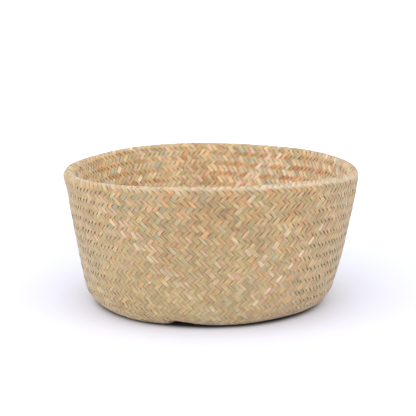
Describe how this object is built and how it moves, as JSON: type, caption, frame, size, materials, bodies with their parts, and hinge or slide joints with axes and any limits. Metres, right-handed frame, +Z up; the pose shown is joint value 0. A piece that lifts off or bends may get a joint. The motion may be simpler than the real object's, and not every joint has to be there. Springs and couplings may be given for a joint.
{
  "type": "plaited storage basket",
  "caption": "Round plaited seagrass belly basket with its upper half turned inwards to make a double-walled rim, and cord loop handles hanging inside.",
  "frame": {"origin": "middle of the flat underside", "axes": "+Z up out of the mouth, -Y towards the viewer of the picture, +X to the viewer's right, handles at -X and +X"},
  "size_m": [0.356, 0.3638, 0.1692],
  "materials": {
    "seagrass_plait": "dry flat seagrass strands in a bias twill plait, pale straw with khaki, olive and pink strands, low satin sheen",
    "seagrass_plait_inside": "the same plait seen on its other face, a little warmer, with more orange and green strands",
    "seagrass_cord": "two-ply twisted seagrass cord, dry and slightly hairy"
  },
  "bodies": {
    "basket_body": {"base_mat": "seagrass_plait", "heel_band": "seagrass_plait", "outer_wall": "seagrass_plait", "rim_fold": "seagrass_plait_inside", "inner_wall": "seagrass_plait_inside", "hem_border": "seagrass_plait_inside", "handle_left_tie_front": "seagrass_cord", "handle_left_tie_back": "seagrass_cord", "handle_right_tie_front": "seagrass_cord", "handle_right_tie_back": "seagrass_cord"},
    "handle_left": {"handle_left_loop": "seagrass_cord"},
    "handle_right": {"handle_right_loop": "seagrass_cord"}
  },
  "joints": [
    {"name": "handle_left_swing", "type": "hinge", "parent": "basket_body", "child": "handle_left", "pos_m": [-0.12693, 0, 0.07498], "axis": [0, -1, 0], "range_deg": [0, 165]},
    {"name": "handle_right_swing", "type": "hinge", "parent": "basket_body", "child": "handle_right", "pos_m": [0.1318, 0, 0.07498], "axis": [0, 1, 0], "range_deg": [0, 165]}
  ]
}
